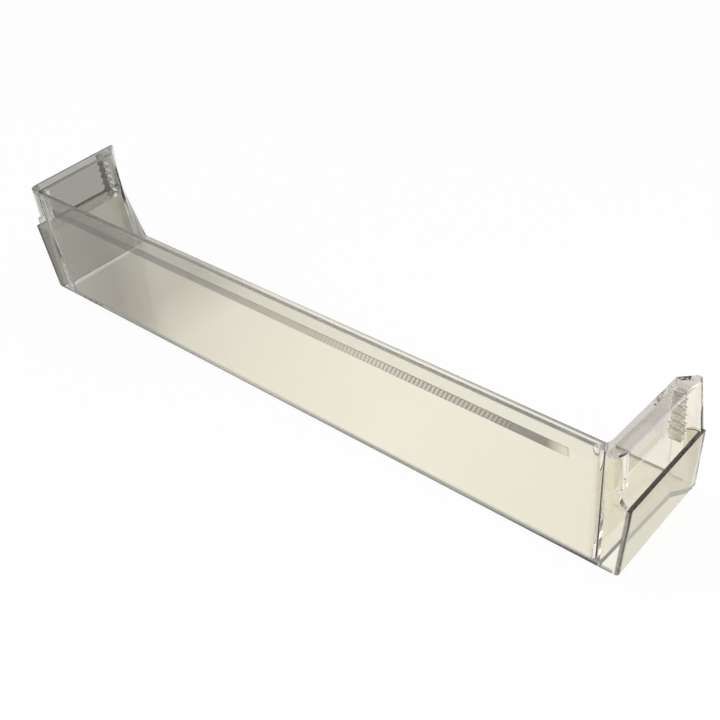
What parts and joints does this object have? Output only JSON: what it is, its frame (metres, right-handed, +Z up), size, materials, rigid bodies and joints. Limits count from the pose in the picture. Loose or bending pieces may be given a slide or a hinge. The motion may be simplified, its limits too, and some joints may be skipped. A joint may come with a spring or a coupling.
{
  "type": "fridge door shelf",
  "caption": "Clear moulded shelf for a fridge door: a shallow tray with a straight front wall, open at the back and top, that hangs by a flanged pocket at each end.",
  "frame": {"origin": "under the middle of the shelf, on the plane that its floor rests on", "axes": "+X along the shelf, to the right when facing its front wall; +Y from the front wall to the fridge door; +Z up"},
  "size_m": [0.48, 0.078, 0.08],
  "materials": {
    "clear_plastic": "clear gloss"
  },
  "bodies": {
    "root": {"door_shelf": "clear_plastic"}
  },
  "joints": []
}
